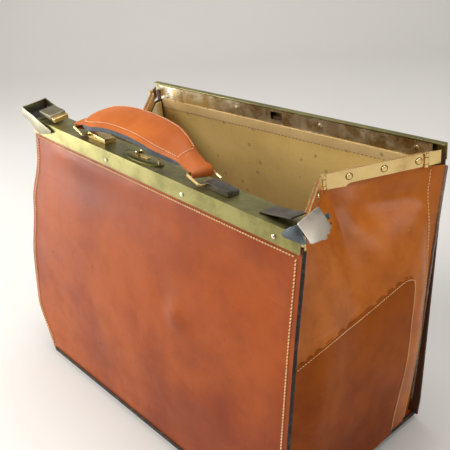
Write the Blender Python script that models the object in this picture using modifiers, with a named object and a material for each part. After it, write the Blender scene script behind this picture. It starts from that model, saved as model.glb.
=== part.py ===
"""Doctor bag (Gladstone-type leather bag with a folding brass frame), standing open.

The origin is the middle of the bottom of the centre base stud. +X is along the bag towards its
right end, +Y towards the back and +Z up. Lengths are metres and angles are radians.
"""

import math

import bmesh
import bpy
from mathutils import Matrix, Vector

MM = 0.001

# Driving dimensions
RAIL_TOP_Z = 320 * MM            # top of the front rail's face
FRONT_Y = -75 * MM               # front rail's face at its top edge
LEAN = math.radians(7.2)         # the front panel leans back by this much
RAIL_HALF = 210.5 * MM           # half the length of each rail
PANEL_HALF = 211.5 * MM          # half the width of the front and rear leather panels
LEATHER = 2.2 * MM
GAP = 0.3 * MM                   # clearance between neighbouring pieces

# Rear rail: it stands a little skewed while the bag is open
REAR_CENTRE = Vector((-7.2, 121.8, 320.0)) * MM
REAR_YAW = math.radians(3.86)
REAR_PITCH = math.radians(1.94)

# Base
BASE_HALF_X = 204.5 * MM
BASE_FRONT_Y = -110 * MM
BASE_REAR_Y = 111.5 * MM
BASE_Z = 6.2 * MM                # underside of the base leather
BASE_THICK = 2.5 * MM
BOARD_THICK = 2.5 * MM
STUD_R = 7 * MM
STUD_X, STUD_Y = 182 * MM, 92 * MM

# Rails
PLATE_DEPTH = 33 * MM            # depth of the front rail's top plate
SHEET = 1.4 * MM                 # thickness of the rails' brass sheet
FRONT_FACE = 16.6 * MM
REAR_FACE = 17.5 * MM
STRIP = 1.2 * MM
RIVET_X = (-181 * MM, -61.8 * MM, 61.8 * MM, 181 * MM)

# Side links
LINK = 104.5 * MM                # pivot to pivot
LINK_HEIGHT = 14 * MM
EYE_R = 2.8 * MM
PIN_R = 1.3 * MM
PIN_HOLE_R = 1.6 * MM
MIDDLE_BAND = 3.2 * MM           # half height of a middle knuckle
OUTER_BAND = 3.8 * MM            # outer knuckles start this far from the middle
PIVOT_X = 200.2 * MM
FRONT_PIVOT = (13 * MM, -14.5 * MM)      # y and z from the front rail's top edge
REAR_PIVOT = (-16.5 * MM, -12.5 * MM)    # y and z in the rear rail's own frame
CLOSED_GAP = 9.5 * MM            # pivot to pivot with the mouth shut
LINK_RIVETS = (26 * MM, 61.5 * MM, 97 * MM)

# Handle
RING_PIVOT_X = (-108 * MM, 84 * MM)
RING_PIVOT_Y = 17 * MM
RING_PIVOT_Z = 3.8 * MM
RING_LENGTH = 20.5 * MM
RING_RISE = math.radians(17)
RING_HALF = 14.2 * MM
RING_WIRE = 1.4 * MM
HANDLE_RISE = 23 * MM            # height of the arch over the ring bars
HANDLE_HALF = 12.2 * MM          # half width between the ring's legs
HANDLE_WIDE = 16 * MM            # half width of the grip

# Lock
LOCK_X, LOCK_Y = -18 * MM, 15 * MM
BOLT_X = 0.0
BOLT_Z = -7.2 * MM

# Clasps at the rail's ends
CLASP_PIN_X = 200 * MM
CLASP_PIN_Z = -0.4 * MM

PALETTE = {
    "cognac_leather": ((0.42, 0.13, 0.04), 0.42, 0.0),
    "tan_leather": ((0.46, 0.17, 0.05), 0.45, 0.0),
    "lining_suede": ((0.42, 0.31, 0.12), 0.8, 0.0),
    "fibre_board": ((0.20, 0.15, 0.10), 0.8, 0.0),
    "aged_brass": ((0.30, 0.28, 0.12), 0.38, 1.0),
    "bright_brass": ((0.72, 0.55, 0.25), 0.3, 1.0),
    "dark_steel": ((0.20, 0.18, 0.15), 0.4, 1.0),
    "handle_leather": ((0.55, 0.22, 0.08), 0.5, 0.0),
    "edge_dye": ((0.08, 0.08, 0.09), 0.7, 0.0),
}


# ---------------------------------------------------------------- helpers

def clear_scene():
    for old in list(bpy.data.objects):
        bpy.data.objects.remove(old, do_unlink=True)


def collection(name):
    made = bpy.data.collections.new(name)
    bpy.context.scene.collection.children.link(made)
    return made


def material(slot, node):
    colour, roughness, metallic = PALETTE[slot]
    made = bpy.data.materials.new(f"{node}_{slot}")
    made.use_nodes = True
    shader = made.node_tree.nodes["Principled BSDF"]
    shader.inputs["Base Color"].default_value = (*colour, 1)
    shader.inputs["Roughness"].default_value = roughness
    shader.inputs["Metallic"].default_value = metallic
    return made


def frame(origin, x_axis, z_axis):
    """A right-handed frame whose Z is z_axis and whose X is as near x_axis as it can be."""
    z = z_axis.normalized()
    y = z.cross(x_axis).normalized()
    x = y.cross(z)
    rotation = Matrix((x, y, z)).transposed().to_4x4()
    return Matrix.Translation(origin) @ rotation


def place(name, mesh, matrix, slot, target=None, smooth=True):
    obj = bpy.data.objects.new(name, mesh)
    (target or PARTS).objects.link(obj)
    obj.matrix_world = matrix
    if slot:
        mesh.materials.append(material(slot, name))
    if smooth:
        mesh.shade_smooth()
        mesh.set_sharp_from_angle(angle=math.radians(35))
    return obj


def mesh_of(temporary):
    """The evaluated mesh of a temporary object, welded, after which the object is removed."""
    bpy.context.view_layer.update()
    graph = bpy.context.evaluated_depsgraph_get()
    mesh = bpy.data.meshes.new_from_object(temporary.evaluated_get(graph))
    bpy.data.objects.remove(temporary, do_unlink=True)
    work = bmesh.new()
    work.from_mesh(mesh)
    bmesh.ops.remove_doubles(work, verts=work.verts, dist=1e-6)
    bmesh.ops.recalc_face_normals(work, faces=work.faces)
    work.to_mesh(mesh)
    work.free()
    mesh.materials.clear()
    return mesh


def prism_mesh(outlines, low, high):
    """2D outlines in XY, the later ones holes, standing from low to high along Z."""
    curve = bpy.data.curves.new("outline", "CURVE")
    curve.dimensions = "2D"
    curve.fill_mode = "BOTH"
    curve.extrude = (high - low) / 2
    for outline in outlines:
        spline = curve.splines.new("POLY")
        spline.points.add(len(outline) - 1)
        for point, (x, y) in zip(spline.points, outline):
            point.co = (x, y, 0, 1)
        spline.use_cyclic_u = True
    temporary = bpy.data.objects.new("outline", curve)
    PARTS.objects.link(temporary)
    mesh = mesh_of(temporary)
    mesh.transform(Matrix.Translation((0, 0, (high + low) / 2)))
    return mesh


def joined(meshes):
    """Several meshes, each with the matrix that places it, as one mesh."""
    work = bmesh.new()
    for mesh, matrix in meshes:
        piece = mesh.copy()
        piece.transform(matrix)
        if matrix.determinant() < 0:
            piece.flip_normals()
        work.from_mesh(piece)
    made = bpy.data.meshes.new("joined")
    work.to_mesh(made)
    work.free()
    return made


def box_mesh(low, high):
    low, high = Vector(low), Vector(high)
    work = bmesh.new()
    size = high - low
    matrix = Matrix.Translation((low + high) / 2) @ Matrix.Diagonal((*size, 1))
    bmesh.ops.create_cube(work, size=1, matrix=matrix)
    made = bpy.data.meshes.new("box")
    work.to_mesh(made)
    work.free()
    return made


def cylinder_mesh(radius, low, high, sides=16):
    work = bmesh.new()
    bmesh.ops.create_cone(work, cap_ends=True, segments=sides, radius1=radius, radius2=radius,
                          depth=high - low, matrix=Matrix.Translation((0, 0, (high + low) / 2)))
    made = bpy.data.meshes.new("cylinder")
    work.to_mesh(made)
    work.free()
    return made


def turned_mesh(profile, steps=16):
    """A profile of (radius, height) from the top of the axis to its bottom, turned about Z."""
    outline = bpy.data.meshes.new("profile")
    points = [(radius, 0, height) for radius, height in profile]
    outline.from_pydata(points, [(i, i + 1) for i in range(len(points) - 1)], [])
    temporary = bpy.data.objects.new("profile", outline)
    PARTS.objects.link(temporary)
    screw = temporary.modifiers.new("turn", "SCREW")
    screw.steps = steps
    screw.render_steps = steps
    screw.use_merge_vertices = True
    screw.merge_threshold = 1e-6
    return mesh_of(temporary)


def combine(obj, other_mesh, operation, matrix=Matrix()):
    """A Boolean of obj with other_mesh, which matrix places in obj's own frame."""
    other = place(f"{obj.name}_{operation.lower()}_{len(obj.modifiers)}", other_mesh,
                  obj.matrix_world @ matrix, None, CUTTERS, smooth=False)
    other.hide_render = True
    other.display_type = "WIRE"
    step = obj.modifiers.new(operation.lower(), "BOOLEAN")
    step.operation = operation
    step.solver = "EXACT"
    step.object = other
    return obj


def cut(obj, cutter_mesh, matrix=Matrix()):
    return combine(obj, cutter_mesh, "DIFFERENCE", matrix)


def join(obj, added_mesh, matrix=Matrix()):
    return combine(obj, added_mesh, "UNION", matrix)


def arc(centre, radius, start, end, count):
    """count points on an arc, its angles in degrees."""
    points = []
    for i in range(count):
        angle = math.radians(start + (end - start) * i / (count - 1))
        points.append((centre[0] + radius * math.cos(angle), centre[1] + radius * math.sin(angle)))
    return points


def circle(centre, radius, count=16):
    return arc(centre, radius, 0, 360 * (count - 1) / count, count)


ALONG_Y = Matrix.Rotation(-math.pi / 2, 4, "X")      # takes +Z to +Y
PROFILE = Matrix(((0, 0, 1, 0), (1, 0, 0, 0), (0, 1, 0, 0), (0, 0, 0, 1)))   # (y, z) outline along X
UPRIGHT = Matrix(((1, 0, 0, 0), (0, 0, -1, 0), (0, 1, 0, 0), (0, 0, 0, 1)))  # (x, z) outline along -Y


def at(x, y, z):
    return Matrix.Translation((x, y, z))


def profile_bar(outline, half):
    """An outline of (y, z) points run along X from -half to half."""
    mesh = prism_mesh([outline], -half, half)
    mesh.transform(PROFILE)
    return mesh


# ---------------------------------------------------------------- frames and the fold

FRONT = at(0, FRONT_Y, RAIL_TOP_Z) @ Matrix.Rotation(-LEAN, 4, "X")
REAR = (Matrix.Translation(REAR_CENTRE) @ Matrix.Rotation(REAR_YAW, 4, "Z")
        @ Matrix.Rotation(-REAR_PITCH, 4, "Y"))


def side_geometry(side):
    """Pivots, knee, plane normal and fold angles of the two links on one side (+1 is right)."""
    front = Vector((side * PIVOT_X, FRONT_Y + FRONT_PIVOT[0], RAIL_TOP_Z + FRONT_PIVOT[1]))
    rear = REAR @ Vector((side * PIVOT_X, *REAR_PIVOT))
    span = rear - front
    along = span.normalized()
    normal = Vector((side, 0, 0)).cross(along) * side
    normal = (normal - along * normal.dot(along)).normalized()
    inward = normal.cross(along) * side
    half = span.length / 2
    knee = (front + rear) / 2 + inward * math.sqrt(LINK ** 2 - half ** 2)
    open_angle = math.acos(half / LINK)
    closed_angle = math.acos(CLOSED_GAP / 2 / LINK)
    return {"front": front, "rear": rear, "knee": knee, "normal": normal,
            "turn": closed_angle - open_angle}


RIGHT, LEFT = side_geometry(1), side_geometry(-1)


def corner_axis():
    """Axis and turn at the right rear corner that square the rear rail up as the mouth shuts."""
    turn = Matrix.Rotation(RIGHT["turn"], 3, RIGHT["normal"]) @ REAR.to_3x3().transposed()
    axis, angle = turn.to_quaternion().to_axis_angle()
    if axis.z < 0:
        axis, angle = -axis, -angle
    return axis, angle


CORNER_AXIS, CORNER_TURN = corner_axis()


# ---------------------------------------------------------------- rails

def front_rail_parts():
    face = [(0, 0), (PLATE_DEPTH, 0), (PLATE_DEPTH, -SHEET), (SHEET, -SHEET),
            (SHEET, -FRONT_FACE), (0, -FRONT_FACE)]
    rail = place("front_rail", profile_bar(face, RAIL_HALF), FRONT, "aged_brass")
    level = -10.3 * MM
    holes = rivet_holes(level, -2 * MM, 8 * MM)
    cut(rail, holes)
    strip_y = SHEET + LEATHER + 2 * GAP
    strip = place("front_inner_strip", box_mesh((-199 * MM, strip_y, -18.5 * MM),
                                                (199 * MM, strip_y + STRIP, -3 * MM)),
                  FRONT, "bright_brass")
    tail = strip_y + STRIP - 0.2 * MM
    rivet = turned_mesh([(0, tail + 0.7 * MM), (2 * MM, tail + 0.5 * MM), (2 * MM, tail),
                         (1.1 * MM, tail), (1.1 * MM, -GAP), (2.2 * MM, -GAP),
                         (1.9 * MM, -0.9 * MM), (1.1 * MM, -1.3 * MM), (0, -1.4 * MM)], 12)
    join(strip, joined([(rivet, at(x, 0, level) @ ALONG_Y) for x in RIVET_X]))
    return holes, strip_y


def rivet_holes(level, low, high):
    hole = cylinder_mesh(1.5 * MM, low, high, 12)
    return joined([(hole, at(x, 0, level) @ ALONG_Y) for x in RIVET_X])


def rear_rail_parts():
    wall = 3.5 * MM
    lip_front = -2.2 * MM
    outline = [(lip_front, 0), (wall + SHEET, 0), (wall + SHEET, -REAR_FACE), (wall, -REAR_FACE),
               (wall, -SHEET), (lip_front, -SHEET)]
    rail = place("rear_rail", profile_bar(list(reversed(outline)), RAIL_HALF), REAR, "aged_brass")
    level = -9.2 * MM
    cut(rail, rivet_holes(level, -6 * MM, 8 * MM))
    strip = place("rear_inner_strip", box_mesh((-198 * MM, lip_front, -20.7 * MM),
                                               (198 * MM, lip_front + STRIP, -SHEET - GAP)),
                  REAR, "bright_brass")
    slot = box_mesh((-8.5 * MM, -6 * MM, -13.5 * MM), (8.5 * MM, 2 * MM, -4.5 * MM))
    head, tail = lip_front + 0.2 * MM, wall + SHEET + GAP
    rivet = turned_mesh([(0, tail + 0.7 * MM), (2 * MM, tail + 0.5 * MM), (2 * MM, tail),
                         (1.1 * MM, tail), (1.1 * MM, head), (2.8 * MM, head),
                         (2.4 * MM, head - 0.6 * MM), (0, head - 0.9 * MM)], 12)
    join(strip, joined([(rivet, at(x, 0, level) @ ALONG_Y) for x in RIVET_X]))
    cut(strip, slot)


# ---------------------------------------------------------------- side links

def eyed_strip(length, inside, start_eye, end_eye, start=0.0):
    """Plan of a thin strip along X with a round eye at either end or a plain end at start."""
    near, far = GAP, GAP + 1.6 * MM
    lean_far = math.degrees(math.asin(far / EYE_R))
    lean_near = math.degrees(math.asin(near / EYE_R))
    points = []
    if start_eye:
        points += arc((0, 0), EYE_R, lean_far, 360 + lean_near, 14)
    else:
        points += [(start, far), (start, near)]
    if end_eye:
        points += arc((length, 0), EYE_R, 180 - lean_near - 360, 180 - lean_far, 14)
    else:
        points += [(length, near), (length, far)]
    holes = [circle((x, 0), PIN_HOLE_R, 12) for x, eye in ((0, start_eye), (length, end_eye)) if eye]
    outlines = [points, *holes]
    return [[(x, y * inside) for x, y in outline] for outline in outlines]


def band_cutter(x, low, high):
    return (cylinder_mesh(EYE_R + 0.5 * MM, low, high, 16), at(x, 0, 0))


def knuckle_cuts(x, middle):
    """What to take away at the eye at x to leave its middle knuckle, or its two outer ones."""
    reach = LINK_HEIGHT
    if middle:
        return [band_cutter(x, MIDDLE_BAND, reach), band_cutter(x, -reach, -MIDDLE_BAND)]
    return [band_cutter(x, -OUTER_BAND, OUTER_BAND)]


def link_parts(tag, origin, knee, normal, inside, start_middle, end_middle, start_eye=True):
    """One side link: outer strip with knuckles, inner strip and rivets. inside is +1 or -1 on Y."""
    matrix = frame(origin, knee - origin, normal)
    half = LINK_HEIGHT / 2
    start = 0.0 if start_eye else 11 * MM
    outlines = eyed_strip(LINK, inside, start_eye, True, start)
    strip = place(f"link_{tag}", prism_mesh(outlines, -half, half), matrix, "bright_brass")
    hole = cylinder_mesh(1.5 * MM, -3 * MM, 9 * MM, 12)
    rivets_at = LINK_RIVETS if start_eye else LINK_RIVETS[:2]
    spots = [at(LINK - x, 0, 0) @ Matrix.Diagonal((1, inside, 1, 1)) @ ALONG_Y for x in rivets_at]
    holes = [(hole, spot) for spot in spots]
    eyes = knuckle_cuts(LINK, end_middle)
    if start_eye:
        eyes += knuckle_cuts(0, start_middle)
    cut(strip, joined(eyes))
    cut(strip, joined(holes))
    inner_y = (GAP + 1.6 * MM) + LEATHER
    low_x, high_x = (start + 3 * MM), LINK - 12 * MM
    ends = sorted((inside * inner_y, inside * (inner_y + 1.0 * MM)))
    inner = place(f"link_inner_{tag}", box_mesh((low_x, ends[0], -half + 1 * MM),
                                                (high_x, ends[1], half - 1 * MM)),
                  matrix, "bright_brass")
    tail = inner_y + 0.8 * MM
    rivet = turned_mesh([(0, tail + 0.6 * MM), (2 * MM, tail + 0.4 * MM), (2 * MM, tail),
                         (1.1 * MM, tail), (1.1 * MM, 0), (3.1 * MM, 0), (2.7 * MM, -0.6 * MM),
                         (1.2 * MM, -0.8 * MM), (0, -0.8 * MM)], 14)
    join(inner, joined([(rivet, spot) for spot in spots]))


def pin_mesh():
    half = LINK_HEIGHT / 2 + 0.5 * MM
    return cylinder_mesh(PIN_R, -half, half, 12)


def lug(name, origin, towards, normal, reach, inside, slot):
    """A fixed half of a corner hinge: two outer knuckles on a short strip."""
    matrix = frame(origin, towards - origin, normal)
    half = LINK_HEIGHT / 2
    outlines = eyed_strip(reach, inside, True, False)
    piece = place(name, prism_mesh(outlines, -half, half), matrix, slot)
    cut(piece, joined(knuckle_cuts(0, False)))
    return matrix


def side_parts(side, word, geometry):
    front, rear, knee = geometry["front"], geometry["rear"], geometry["knee"]
    normal = geometry["normal"]
    link_parts(f"front_{word}", front, knee, normal, side, True, False)
    link_parts(f"rear_{word}", rear, knee, normal, -side, True, True, start_eye=side > 0)
    pin(f"front_pin_{word}", front, normal)
    pin(f"knee_pin_{word}", knee, normal)
    pin(f"rear_pin_{word}", rear, CORNER_AXIS)
    wall = front + Vector((side * 1.5 * MM, -6.4 * MM, 0))
    lug(f"front_lug_{word}", front, wall, normal, 6.0 * MM, side, "bright_brass")
    corner = REAR @ Vector((side * 208.5 * MM, -2.8 * MM, REAR_PIVOT[1]))
    lug(f"rear_corner_{word}", rear, corner, CORNER_AXIS, 15.8 * MM, side, "bright_brass")


def pin(name, centre, axis):
    place(name, pin_mesh(), frame(centre, Vector((1, 0, 0)), axis), "bright_brass")


# ---------------------------------------------------------------- leather

def smooth(t):
    return t * t * (3 - 2 * t)


def sheet_from_grid(name, rows, thickness, slot):
    """A sheet through a grid of points, rows from top to bottom, given its thickness evenly."""
    work = bmesh.new()
    grid = [[work.verts.new(point) for point in row] for row in rows]
    for upper, lower in zip(grid, grid[1:]):
        for i in range(len(upper) - 1):
            work.faces.new((upper[i], lower[i], lower[i + 1], upper[i + 1]))
    mesh = bpy.data.meshes.new(name)
    work.to_mesh(mesh)
    work.free()
    obj = place(name, mesh, Matrix(), slot)
    solid = obj.modifiers.new("thickness", "SOLIDIFY")
    solid.thickness = thickness
    solid.offset = 0
    return obj


def front_panel_parts(strip_y, holes):
    low = -(RAIL_TOP_Z - BASE_Z - 1 * MM) / math.cos(LEAN)
    y = SHEET + GAP
    panel = place("front_panel", box_mesh((-PANEL_HALF, y, low), (PANEL_HALF, y + LEATHER, -3.5 * MM)),
                  FRONT, "cognac_leather")
    cut(panel, holes.copy())
    place("front_lining", box_mesh((-198 * MM, strip_y, low + 8 * MM),
                                   (198 * MM, strip_y + 0.8 * MM, -19.2 * MM)), FRONT, "lining_suede")


def rear_sheet_rows(y, half, top, bottom_y, bottom_z):
    """Rows of the rear leather: straight inside the rail, then down to the base."""
    rows = []
    count = 9
    for level in (top, -24 * MM):
        rows.append([REAR @ Vector((-half + 2 * half * i / (count - 1), y, level))
                     for i in range(count)])
    knee = rows[-1]
    for part in (0.35, 0.7, 1.0):
        row = []
        for i, start in enumerate(knee):
            end = Vector((-half + 2 * half * i / (count - 1), bottom_y, bottom_z))
            row.append(start.lerp(end, part))
        rows.append(row)
    return rows


def rear_panel_parts():
    middle = 1.0 * MM + LEATHER / 2
    rows = rear_sheet_rows(middle, PANEL_HALF, -2.4 * MM, BASE_REAR_Y + 1.5 * MM, BASE_Z + 1 * MM)
    panel = sheet_from_grid("rear_panel", rows, 2 * MM, "cognac_leather")
    wide = joined([(cylinder_mesh(1.6 * MM, -1 * MM, 5 * MM, 12), at(x, 0, -9.2 * MM) @ ALONG_Y)
                   for x in RIVET_X])
    cut(panel, wide, REAR)
    rows = rear_sheet_rows(-1.6 * MM, 196 * MM, -21.5 * MM, BASE_REAR_Y - 3.4 * MM, BASE_Z + 9 * MM)
    sheet_from_grid("rear_lining", rows, 0.8 * MM, "lining_suede")


def gusset_rows(side, geometry):
    """Rows of one end of the bag, from the folded line under the links down to the base."""
    front, rear, knee = geometry["front"], geometry["rear"], geometry["knee"]
    inside = Vector((-side, 0, 0))
    drop = Vector((0, 0, -LINK_HEIGHT / 2 - 1.6 * MM))
    behind = SHEET + LEATHER + 2 * GAP + 1.6 * MM
    edge_x = side * 207.5 * MM
    high_front = Vector((edge_x, FRONT_Y + behind, front.z)) + drop
    high_rear = REAR @ Vector((edge_x, -1.8 * MM, REAR_PIVOT[1])) + drop
    high_rear.x = edge_x
    nodes = [high_front, front + drop + inside * 3 * MM, knee + drop + inside * 2 * MM,
             rear + drop + inside * 3 * MM, high_rear]
    top = []
    for start, end, steps in zip(nodes, nodes[1:], (1, 4, 4, 1)):
        top += [start.lerp(end, i / steps) for i in range(steps)]
    top.append(nodes[-1])
    low_z = BASE_Z + 0.4 * MM
    low_front = FRONT @ Vector((0, behind, -(RAIL_TOP_Z - low_z) / math.cos(LEAN)))
    first = Vector((side * 206 * MM, low_front.y, low_z))
    last = Vector((side * 206 * MM, BASE_REAR_Y - 1.0 * MM, low_z))
    rows = []
    for part in (0, 0.08, 0.2, 0.4, 0.65, 1.0):
        row = []
        for start in top:
            share = (start.y - top[0].y) / (top[-1].y - top[0].y)
            end = first.lerp(last, share)
            point = start.lerp(end, part)
            point.x = start.x + (end.x - start.x) * smooth(min(1, part / 0.65))
            row.append(point)
        rows.append(row)
    return rows


def inner_rows(rows, distance, side):
    """The same rows moved inwards along the sheet's normals."""
    moved = []
    for j, row in enumerate(rows):
        line = []
        for i, point in enumerate(row):
            across = row[min(i + 1, len(row) - 1)] - row[max(i - 1, 0)]
            down = rows[min(j + 1, len(rows) - 1)][i] - rows[max(j - 1, 0)][i]
            normal = across.cross(down).normalized()
            if normal.x * side > 0:
                normal.negate()
            line.append(point + normal * distance)
        moved.append(line)
    return moved


def gusset_parts(side, word, geometry):
    rows = gusset_rows(side, geometry)
    facing = rows if side < 0 else [row[::-1] for row in rows]
    sheet_from_grid(f"gusset_{word}", facing, 2 * MM, "tan_leather")
    lining = [row[1:-1] for row in inner_rows(rows, 2.4 * MM, side)]
    lift = Vector((0, 0, 7 * MM))
    lining[-1] = [point + lift for point in lining[-1]]
    facing = lining if side < 0 else [row[::-1] for row in lining]
    sheet_from_grid(f"gusset_lining_{word}", facing, 0.8 * MM, "lining_suede")


def base_parts():
    top = BASE_Z + BASE_THICK
    panel = place("base_panel", box_mesh((-BASE_HALF_X, BASE_FRONT_Y, BASE_Z),
                                         (BASE_HALF_X, BASE_REAR_Y, top)), Matrix(), "cognac_leather")
    board = box_mesh((-198 * MM, -104 * MM, top + GAP), (198 * MM, 106 * MM, top + GAP + BOARD_THICK))
    place("base_board", board, Matrix(), "fibre_board")
    spots = [(x, y) for x in (-STUD_X, STUD_X) for y in (-STUD_Y, STUD_Y)] + [(0, 0)]
    hole = cylinder_mesh(2.3 * MM, 0, 12 * MM, 12)
    cut(panel, joined([(hole, at(x, y, 0)) for x, y in spots]))
    under = BASE_Z - GAP
    stud = turned_mesh([(0, top), (2 * MM, top), (2 * MM, under), (STUD_R, under),
                        (STUD_R, 2 * MM), (STUD_R - 2 * MM, 0), (0, 0)], 20)
    for number, (x, y) in enumerate(spots, 1):
        place(f"base_stud_{number}", stud.copy(), at(x, y, 0), "bright_brass")


# ---------------------------------------------------------------- handle

def ring_top(pivot_x):
    """Centre of a ring's upper bar, in the front rail's frame."""
    return (pivot_x - RING_LENGTH * math.cos(RING_RISE),
            RING_PIVOT_Z + RING_LENGTH * math.sin(RING_RISE))


def handle_mount(name, pivot_x, slot):
    """A low block on the top plate, with an eye at its left end for the ring's lower bar."""
    foot = GAP
    length, height, half = 30 * MM, 5.2 * MM, 7 * MM
    eye = 3.2 * MM
    body = [(0, foot)] + arc((0, RING_PIVOT_Z - foot), eye, 200, 90, 8)
    body += [(6 * MM, height + 1.2 * MM), (length - 1 * MM, height), (length, height - 1.2 * MM),
             (length, foot)]
    hole = circle((0, RING_PIVOT_Z), RING_WIRE + GAP, 14)
    mesh = prism_mesh([body, hole], -half, half)
    mesh.transform(UPRIGHT)
    place(name, mesh, FRONT @ at(pivot_x, RING_PIVOT_Y, 0), slot)


def ring(name, pivot_x):
    """A rectangular wire ring, its origin on its lower bar."""
    top_x, top_z = ring_top(pivot_x)
    rise = Vector((top_x - pivot_x, 0, top_z - RING_PIVOT_Z))
    curve = bpy.data.curves.new(name, "CURVE")
    curve.dimensions = "3D"
    curve.bevel_depth = RING_WIRE
    curve.bevel_resolution = 1
    spline = curve.splines.new("POLY")
    corner = 2.2 * MM
    run = rise.normalized() * corner
    side = Vector((0, corner, 0))
    across = Vector((0, RING_HALF, 0))
    path = []
    for middle, along in ((Vector(), run), (rise, -run)):
        order = (-1, 1) if middle == Vector() else (1, -1)
        for sign in order:
            pair = [middle + sign * (across - side), middle + sign * across + along]
            path += pair if sign == order[1] else pair[::-1]
    spline.points.add(len(path) - 1)
    for point, place_ in zip(spline.points, path):
        point.co = (*place_, 1)
    spline.use_cyclic_u = True
    temporary = bpy.data.objects.new(name, curve)
    PARTS.objects.link(temporary)
    place(name, mesh_of(temporary), FRONT @ at(pivot_x, RING_PIVOT_Y, RING_PIVOT_Z), "bright_brass")


def arch_height(t):
    """Rise of the grip's middle line over the ring bars, t running from -1 to 1."""
    return HANDLE_RISE * (1 - abs(t) ** 2.3)


def band(path, thickness):
    """Outline of a band of even thickness about a path of (x, z) points."""
    left, right = [], []
    for i, point in enumerate(path):
        before, after = path[max(i - 1, 0)], path[min(i + 1, len(path) - 1)]
        direction = Vector((after[0] - before[0], after[1] - before[1])).normalized()
        normal = Vector((-direction.y, direction.x)) * thickness / 2
        left.append((point[0] + normal.x, point[1] + normal.y))
        right.append((point[0] - normal.x, point[1] - normal.y))
    return left + right[::-1]


def handle_parts():
    left = ring_top(RING_PIVOT_X[0])
    right = ring_top(RING_PIVOT_X[1])
    middle_x, half = (left[0] + right[0]) / 2, (right[0] - left[0]) / 2
    curl = RING_WIRE + GAP + 1.4 * MM
    arch = []
    count = 15
    for i in range(count):
        t = -1 + 2 * i / (count - 1)
        arch.append((middle_x + half * t, left[1] + curl + arch_height(t)))
    steep = 30
    start = arc(left, curl, 290, 90 + steep, 7)
    end = arc(right, curl, 90 - steep, -110, 7)
    top = band(start + arch[1:-1] + end, 2.0 * MM)
    mesh = prism_mesh([top], -HANDLE_HALF, HANDLE_HALF)
    mesh.transform(UPRIGHT)
    origin = FRONT @ at(left[0], RING_PIVOT_Y, left[1])
    mesh.transform(at(-left[0], 0, -left[1]))
    place("handle_strap", mesh, origin, "handle_leather")
    under = [(x, z - 1.0 * MM - GAP - 2 * MM) for x, z in arch[2:-2]]
    mesh = prism_mesh([band(under, 4 * MM)], -HANDLE_WIDE, HANDLE_WIDE)
    mesh.transform(UPRIGHT)
    mesh.transform(at(-left[0], 0, -left[1]))
    place("handle_underside", mesh, origin, "edge_dye")


# ---------------------------------------------------------------- lock and clasps

def lock_parts():
    ellipse = [(31 * MM * math.cos(2 * math.pi * i / 32), 11.5 * MM * math.sin(2 * math.pi * i / 32))
               for i in range(32)]
    keyhole = circle((8 * MM, 0), 1.4 * MM, 10)
    place("lock_plate", prism_mesh([ellipse, keyhole], GAP, 1.8 * MM), FRONT @ at(LOCK_X, LOCK_Y, 0),
          "aged_brass")
    case = place("lock_case", box_mesh((-45 * MM, 8.5 * MM, -16 * MM), (10 * MM, 27 * MM, -1.8 * MM)),
                 FRONT, "dark_steel")
    cut(case, box_mesh((-5.6 * MM, 12 * MM, BOLT_Z - 2.8 * MM), (5.6 * MM, 29 * MM, BOLT_Z + 2.8 * MM)))
    place("lock_bolt", box_mesh((-5 * MM, -14 * MM, -2.2 * MM), (5 * MM, 0, 2.2 * MM)),
          FRONT @ at(BOLT_X, 27.4 * MM, BOLT_Z), "dark_steel")
    cover = [(2.4 * MM * math.cos(a), 2.4 * MM * math.sin(a))
             for a in (math.radians(60 + 240 * i / 9) for i in range(10))]
    cover += [(10 * MM, -1.7 * MM), (11.2 * MM, 0), (10 * MM, 1.7 * MM)]
    place("keyhole_cover", prism_mesh([cover], 1.8 * MM + GAP, 3.2 * MM),
          FRONT @ at(LOCK_X, LOCK_Y, 0), "bright_brass")


def mirrored(mesh, side):
    if side < 0:
        mesh.transform(Matrix.Scale(-1, 4, (1, 0, 0)))
        mesh.flip_normals()
    return mesh


def clasp_parts(side, word, swing, wall_x, wall_low, wall_high):
    """An end clasp: a three-sided cap on a pin through the rail's end, and its thumb lever."""
    pivot = FRONT @ at(side * CLASP_PIN_X, 0, CLASP_PIN_Z)
    front, back = -2.0 * MM, PLATE_DEPTH + GAP
    thick = 1.0 * MM
    crown = [(wall_x, wall_high), (3 * MM, 3.5 * MM), (-4 * MM, 2.5 * MM)]
    front_cheek = [(-5 * MM, -6 * MM), (2 * MM, -9 * MM), (wall_x, wall_low + 5 * MM), *crown]
    back_cheek = [(-4 * MM, -2.6 * MM), (1.5 * MM, -2.6 * MM), (4.5 * MM, -1 * MM),
                  (wall_x, -1 * MM), *crown]
    hole = circle((0, 0), PIN_HOLE_R, 12)
    meshes = []
    for y, cheek in ((front, front_cheek), (back, back_cheek)):
        plate = prism_mesh([cheek, hole], -thick, 0)
        plate.transform(UPRIGHT)
        meshes.append((plate, at(0, y, 0)))
    foot = 6 * MM
    outline = [(front, wall_high), (back + thick, wall_high), (back + thick, wall_low + foot),
               (back - 4 * MM, wall_low + foot / 2), (back - 5 * MM, wall_low),
               (front + 6 * MM, wall_low), (front + 5 * MM, wall_low + foot / 2),
               (front, wall_low + foot)]
    wall = prism_mesh([outline], wall_x - 0.2 * MM, wall_x + thick)
    wall.transform(PROFILE)
    swung = pivot @ Matrix.Rotation(swing, 4, "Y")
    place(f"clasp_cap_{word}", mirrored(meshes_union(meshes + [(wall, Matrix())]), side),
          swung, "dark_steel")
    hinge = turned_mesh([(0, back + thick + 0.8 * MM), (2.2 * MM, back + thick + 0.8 * MM),
                         (2.2 * MM, back + thick + GAP), (PIN_R, back + thick + GAP),
                         (PIN_R, front - GAP), (2.2 * MM, front - GAP), (2.2 * MM, front - 0.9 * MM),
                         (0, front - 0.9 * MM)], 12)
    hinge.transform(ALONG_Y)
    place(f"clasp_pin_{word}", hinge, pivot, "dark_steel")


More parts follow.
